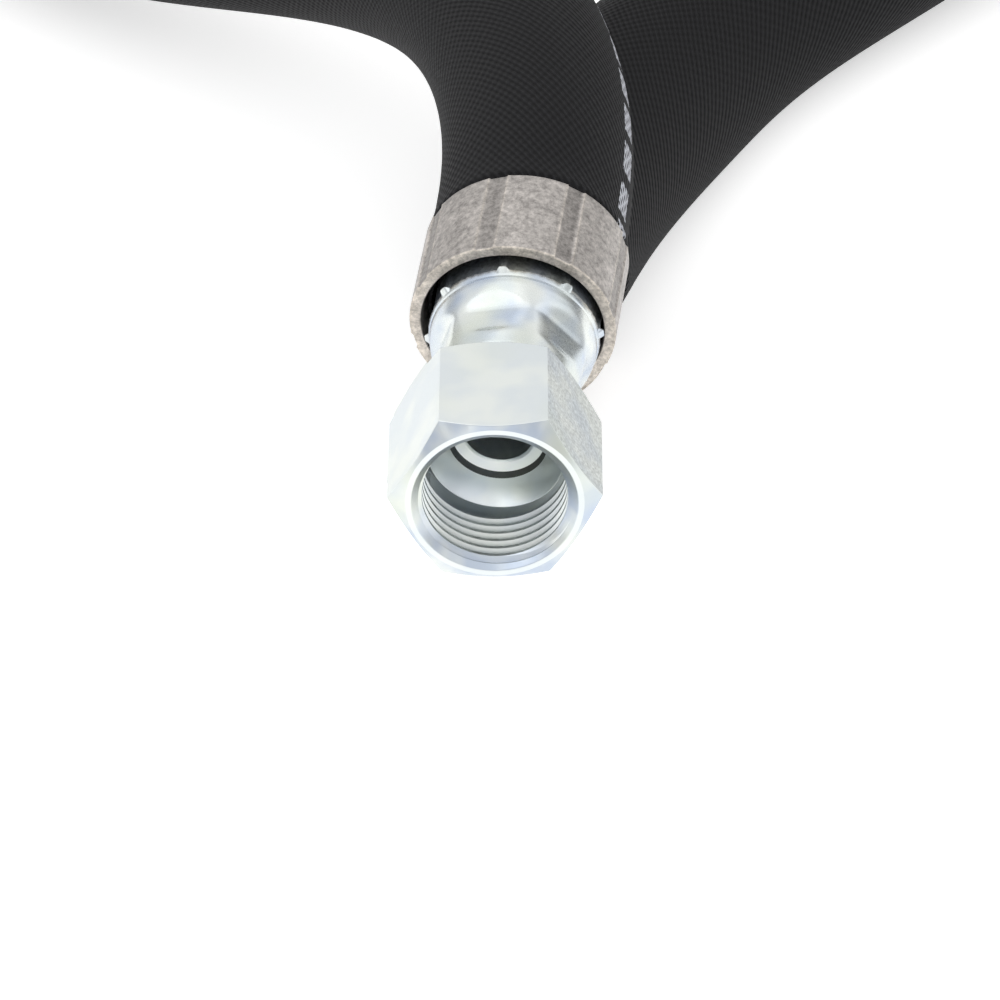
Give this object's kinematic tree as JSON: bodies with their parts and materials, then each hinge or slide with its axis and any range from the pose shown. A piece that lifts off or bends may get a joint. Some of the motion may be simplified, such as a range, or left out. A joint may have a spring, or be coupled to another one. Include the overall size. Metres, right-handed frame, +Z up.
{
  "type": "hydraulic hose assembly",
  "caption": "Wire-braided hydraulic hose in a black textile sleeve, with a crimped female swivel-nut fitting and a steel sleeve collar on each end, lying in one loop.",
  "frame": {"origin": "on the surface that the assembly lies on, under the middle of the box round its two end fittings", "axes": "+Z up; +Y from the fitting called end A back towards the loop, along end A's nut; +X to the right when seen from end A's open mouth"},
  "size_m": [0.3202, 0.5249, 0.0751],
  "materials": {
    "plated_nut": "bright zinc plate",
    "plated_stem": "bright zinc plate",
    "plated_shell": "bright zinc plate, scuffed",
    "raw_steel_collar": "bare, mottled grey",
    "hose_rubber": "matt black",
    "braid_wire": "brassed wire",
    "woven_nylon": "black weave"
  },
  "bodies": {
    "hose": {"hose_inner_tube": "hose_rubber", "hose_inner_braid": "braid_wire", "hose_friction_layer": "hose_rubber", "hose_outer_braid": "braid_wire", "hose_cover": "hose_rubber", "textile_sleeve": "woven_nylon", "stem_a": "plated_stem", "crimp_shell_a": "plated_shell", "sleeve_collar_a": "raw_steel_collar", "stem_b": "plated_stem", "crimp_shell_b": "plated_shell", "sleeve_collar_b": "raw_steel_collar"},
    "nut_a": {"swivel_nut_a": "plated_nut"},
    "nut_b": {"swivel_nut_b": "plated_nut"}
  },
  "joints": [
    {"name": "nut_a_swivel", "type": "hinge", "parent": "hose", "child": "nut_a", "pos_m": [-0.0017, -0.06372, 0.04826], "axis": [0, 1, 0], "continuous": true},
    {"name": "nut_b_swivel", "type": "hinge", "parent": "hose", "child": "nut_b", "pos_m": [-0.0037, -0.01572, 0.01588], "axis": [0.0436, 0.999, 0], "continuous": true}
  ]
}
